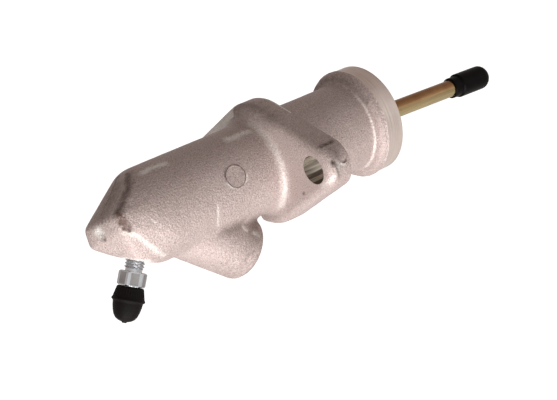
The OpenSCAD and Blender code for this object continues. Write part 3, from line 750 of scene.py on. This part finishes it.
def plated(name, dull, shiny, roughness, size=7.0):
    """Plated or bare steel: a cloudy colour, with faint pores and scratches."""
    material, tree, shader = finish_named(name, metallic=1.0, roughness=roughness)
    haze = grouped(tree, cloud, Size=size, Contrast=0.6)["Mask"]
    specks = grouped(tree, blast, Size=size * 0.05)
    tone = mixed(tree, haze, dull, shiny)
    tone = mixed(tree, math_of(tree, "MULTIPLY", specks["Fleck"], 0.25), tone, dull)
    tree.links.new(tone, shader["Base Color"])
    shine = spread(tree, haze, 0, 1, roughness + 0.08, roughness - 0.04)
    tree.links.new(shine, shader["Roughness"])
    bumped(tree, shader, specks["Height"], strength=0.3, distance=0.00003)
    return material


def finished(piece, material, angle=32):
    """Gives a piece its one material and smooth shading with sharp corners."""
    piece.data.materials.clear()
    piece.data.materials.append(material)
    piece.data.shade_smooth()
    piece.data.set_sharp_from_angle(angle=math.radians(angle))


bright_zinc = plated("bright_zinc", (0.42, 0.43, 0.45), (0.68, 0.69, 0.7), roughness=0.25)
# Painted shade: the hexagon's flats get a darker plating, which dulls their reflection.
shaded_hex_flats = plated("shaded_hex_flats", (0.16, 0.145, 0.145), (0.5, 0.48, 0.47), roughness=0.3,
                       size=6.5)
finished(bleed_screw, bright_zinc)
bleed_screw.data.materials.append(shaded_hex_flats)
screw_faces = bleed_screw.data.polygons
from_screw, up_screw = seen_from(on_bleed, triples(screw_faces, "center") * 1000)
flats = (up_screw > hex_from + 0.5) & (up_screw < hex_to - 0.5)
flats &= (from_screw > hex_half - 0.3) & (from_screw < hex_corner - 0.45)
screw_faces.foreach_set("material_index", flats.astype(np.int32))
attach(bleed_screw, "bleed_screw")
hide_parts("bleed_screw")

# Bleed cap
# A soft moulded rubber cap pushed over the nipple. Fine ribs round its upper band give a grip, and
# a thin rim runs round it at its widest.
cap_bore, rib_count, rib_depth = 3.25, 36, 0.2
ribs_from, ribs_to, ribs_fade = 11.5, 15.3, 0.5


def cap_section(r, z, a):
    """Radius rule for spin(): the grip ribs, which fade out at both ends of their band."""
    band = min(1, max(0, (z - ribs_from) / ribs_fade), max(0, (ribs_to - z) / ribs_fade))
    return r - rib_depth * band * (0.5 + 0.5 * math.cos(rib_count * a)) if r > 4 else r


def rows(path, step):
    """The same line of points with more of them, so that a curve or a rib has rows to follow."""
    out = [path[0]]
    for (r0, z0), (r1, z1) in zip(path, path[1:]):
        count = max(1, round(math.hypot(r1 - r0, z1 - z0) / step))
        out += [(r0 + (r1 - r0) * k / count, z0 + (z1 - z0) * k / count)
                for k in range(1, count + 1)]
    return out


cap_outside = [(5.05, 10.95), (5.45, 11.4), (6.35, 15.4), (6.62, 15.75), (6.7, 16.1), (6.62, 16.4),
               (6.3, 16.65), (6.0, 16.95), (5.75, 18.8), (5.35, 20.6), (4.75, 22.3), (3.9, 23.5),
               (2.7, 24.3), (1.5, 24.7), (1.05, 24.8), (0.95, 25.1), (0.7, 25.2), (0, 25.2)]
bleed_cap = spin("bleed_cap_ribbed", [(0, 21.2), (cap_bore, 21.2), (cap_bore, 10.95)]
                 + rows(cap_outside, 0.45), on_bleed, turns=rib_count * 6, shape=cap_section)


def moulded(name, base, roughness, size, strength, shine, bloom=2.1):
    """Moulded rubber or plastic: an even colour, a little grey bloom and a fine texture."""
    material, tree, shader = finish_named(name, metallic=0.0, roughness=roughness)
    shader["Specular IOR Level"].default_value = shine
    haze = grouped(tree, cloud, Size=5.0, Contrast=0.6)["Mask"]
    grit = grouped(tree, blast, Size=size)
    bloomed = mixed(tree, spread(tree, haze, 0, 1, 0, 0.5), base, [c * bloom for c in base])
    tree.links.new(bloomed, shader["Base Color"])
    dullness = spread(tree, haze, 0, 1, roughness - 0.06, roughness + 0.1)
    tree.links.new(dullness, shader["Roughness"])
    bumped(tree, shader, grit["Height"], strength, distance=0.00006)
    return material


rubber = moulded("rubber", (0.006, 0.0045, 0.0045), roughness=0.46, size=0.5, strength=0.35,
                 shine=0.06)
finished(bleed_cap, rubber, 45)
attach(bleed_cap, "bleed_cap")
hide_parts("bleed_cap")


def dressed(material, *names):
    """Gives CAD pieces their finish, and leaves their shape alone."""
    for name in names:
        for slot in nodes[name].material_slots:
            slot.link = "OBJECT"
            slot.material = material


# Pushrod
# Cold-drawn steel with a ball end, yellow zinc plated: pale gold, with painted shade that makes it
# darker and browner above.
# The clutch fork is pushed by the black plastic cap on its outer end.
rod_gold, tree, shader = finish_named("yellow_zinc", metallic=1.0, roughness=0.28)
stain = grouped(tree, cloud, Size=9.0, Contrast=0.5)["Mask"]
drawn = grouped(tree, along_grain, Size=2.4)["Mask"]
upward = put(tree, "SeparateXYZ", {0: put(tree, "TexCoord").outputs["Normal"]}).outputs["Z"]
gold = mixed(tree, spread(tree, drawn, 0, 1, 0.1, 0.9), (0.44, 0.36, 0.19), (0.6, 0.47, 0.25))
shaded_top_brown = mixed(tree, stain, (0.24, 0.11, 0.05), (0.36, 0.2, 0.09))
# Painted shade: the sides that face up are mixed towards the darker brown.
gold = mixed(tree, spread(tree, upward, -0.35, 0.45), gold, shaded_top_brown)
tree.links.new(gold, shader["Base Color"])
tree.links.new(spread(tree, drawn, 0, 1, 0.18, 0.3), shader["Roughness"])
pores = grouped(tree, blast, Size=0.35)["Height"]
bumped(tree, shader, pores, strength=0.25, distance=0.00003)
plastic = moulded("plastic", (0.0035, 0.0025, 0.0025), roughness=0.34, size=0.7, strength=0.2,
                  shine=0.05)
dressed(rod_gold, "pushrod")
dressed(plastic, "pushrod_cap")

# Dust boot
# Moulded rubber: its rim sits in the mouth's groove behind a steel ring, one fold runs round it,
# and its snout narrows to a cuff on the pushrod. The snout droops a little.
snout_r, lip_r, rim_x, wall = 8.9, 19.2, 51.1, 1.5
split_x, bend_x, bend_run, ball_x, droop = 54.8, 56.0, 5.0, 21.8, math.radians(2.6)
fold = [(1, 0.9), (0.89, 1.7), (0.75, 1.9), (0.66, 1.4), (0.56, 0.3), (0.47, -0.2), (0.38, 0.1),
        (0.3, 1.1), (0.21, 2.4), (0.12, 3.7), (0.05, 5), (0, 6.9), (-0.05, 9)]
skin_line = [Vector((snout_r + (lip_r - snout_r) * u, rim_x + dx)) for u, dx in fold]


def smooth_line(points, count):
    """Extra points on a curve through the given ones."""
    out = []
    for k in range(len(points) - 1):
        a, b, c, d = (points[min(max(j, 0), len(points) - 1)] for j in (k - 1, k, k + 1, k + 2))
        for i in range(count):
            t = i / count
            out.append(0.5 * (2 * b + (c - a) * t + (2 * a - 5 * b + 4 * c - d) * t * t
                              + (3 * b - a - 3 * c + d) * t ** 3))
    return out + [points[-1]]


def inside(line, distance):
    """The same line moved towards the bore by a distance."""
    out = []
    for k, point in enumerate(line):
        run = line[min(k + 1, len(line) - 1)] - line[max(k - 1, 0)]
        out.append(point + distance * Vector((-run.y, run.x)).normalized())
    return out


outer = smooth_line(skin_line, 4)
inner = inside(outer, wall)
fold_outer = [p for p in outer if p.y < split_x or p.x > snout_r + 1]
fold_inner = inner[:len(fold_outer)]
fold_path = ([(17.6, 48.3), (21.4, 48.3), (21.4, rim_x), (19.7, rim_x)]
             + [tuple(p) for p in fold_outer + fold_inner[::-1]] + [(17.7, rim_x)])
boot_fold = spin("boot_fold", fold_path, on_bore, turns=128, closed=True)
cuff_r, cuff_hole, cuff_end = 6.2, 4.15, 44.4 + ball_x
snout_outer = [tuple(p) for p in outer[len(fold_outer) - 1:]]
snout_inner = [tuple(p) for p in inner[len(fold_outer) - 1:]]
snout_path = (snout_outer + [(7.9, 60.9), (7.2, 61.3), (cuff_r + 0.15, 61.6), (cuff_r, 62.1),
                             (cuff_r, cuff_end - 0.5), (cuff_r - 0.25, cuff_end - 0.15),
                             (cuff_r - 0.6, cuff_end), (cuff_hole, cuff_end), (cuff_hole, 59.9)]
              + snout_inner[::-1])
boot_snout = spin("boot_snout", snout_path, on_bore, closed=True)
hinge = Vector((ball_x, 0, 0)) / 1000
for vertex in boot_snout.data.vertices:
    share = min(1, max(0, (vertex.co.x * 1000 - bend_x) / bend_run))
    turn = Matrix.Rotation(droop * share * share * (3 - 2 * share), 3, "Y")
    vertex.co = hinge + turn @ (vertex.co - hinge)
for piece in (boot_fold, boot_snout):
    finished(piece, rubber, 50)
    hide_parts("dust_boot")
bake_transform(boot_fold)
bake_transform(boot_snout)

# Return spring
# Coiled from round spring steel wire, with its end coils shut. It pushes the piston and its cup out
# against the stop washer.
wire_r, coil_r, turns, shut = 0.9, 9.25, 8, 1.85
spring_far, spring_near = -63.0, -3.7
open_run = spring_near - spring_far - 2 * wire_r - 2 * shut
ring_steps, wire_sides = 48, 14
wire_rings = []
coil = bmesh.new()
for k in range(turns * ring_steps + 1):
    t = k / ring_steps
    middle = (spring_far + wire_r + shut * min(t, 1)
              + open_run * min(max((t - 1) / (turns - 2), 0), 1) + shut * max(t - turns + 1, 0))
    a = 2 * math.pi * t
    ring = []
    for i in range(wire_sides):
        b = 2 * math.pi * i / wire_sides
        r = coil_r + wire_r * math.cos(b)
        ring.append(coil.verts.new(on_bore @ Vector((r * math.cos(a), r * math.sin(a),
                                                     middle + wire_r * math.sin(b))) / 1000))
    wire_rings.append(ring)
for low, high in zip(wire_rings, wire_rings[1:]):
    for i in range(wire_sides):
        n = (i + 1) % wire_sides
        coil.faces.new((low[i], low[n], high[n], high[i]))
coil.faces.new(wire_rings[0])
coil.faces.new(wire_rings[-1][::-1])
bmesh.ops.recalc_face_normals(coil, faces=coil.faces)
coil_mesh = bpy.data.meshes.new("coil_spring")
coil.to_mesh(coil_mesh)
coil.free()
coil_spring = placed("coil_spring", coil_mesh)
dark_steel = plated("spring_steel", (0.12, 0.12, 0.13), (0.27, 0.27, 0.28), roughness=0.36)
finished(coil_spring, dark_steel)
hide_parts("return_spring")
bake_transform(coil_spring)

# Piston and its rings
# A turned and anodised aluminium piston. A rubber cup seals its inner end, a wiper its middle and a
# split band guides it. A plastic socket behind a split ring holds the pushrod's ball.
anodised, tree, shader = finish_named("anodised", metallic=0.8, roughness=0.3)
rings = grouped(tree, lathe, Pitch=0.3)
tone = mixed(tree, rings["Ring"], (0.42, 0.42, 0.4), (0.6, 0.59, 0.56))
tree.links.new(tone, shader["Base Color"])
tree.links.new(spread(tree, rings["Ring"], 0, 1, 0.26, 0.36), shader["Roughness"])
bumped(tree, shader, rings["Height"], strength=0.3, distance=0.00003)
guide_band = moulded("guide_band", (0.1, 0.075, 0.05), roughness=0.45, size=0.4, strength=0.3,
                     shine=0.4, bloom=1.4)
acetal = moulded("acetal", (0.62, 0.58, 0.48), roughness=0.4, size=0.6, strength=0.2,
                 shine=0.5, bloom=1.1)
dressed(anodised, "piston")
dressed(rubber, "piston_cup", "wiper_cup")
dressed(guide_band, "guide_ring")
dressed(acetal, "ball_socket")
dressed(dark_steel, "rod_clip", "snap_ring")

# Small steel and brass parts
# Stamped washers at both ends of the spring and under the snap ring, the boot's ring and its
# clamp band are bright steel. The inlet's flare seat is turned from brass and pressed in.
bright_steel = plated("bright_steel", (0.4, 0.4, 0.41), (0.62, 0.62, 0.63), roughness=0.3)
brass = plated("brass", (0.55, 0.37, 0.13), (0.83, 0.62, 0.25), roughness=0.28)
dressed(bright_steel, "spring_seat", "spring_base", "stop_washer", "boot_ring", "boot_clamp")
dressed(brass, "inlet_seat")

low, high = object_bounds()
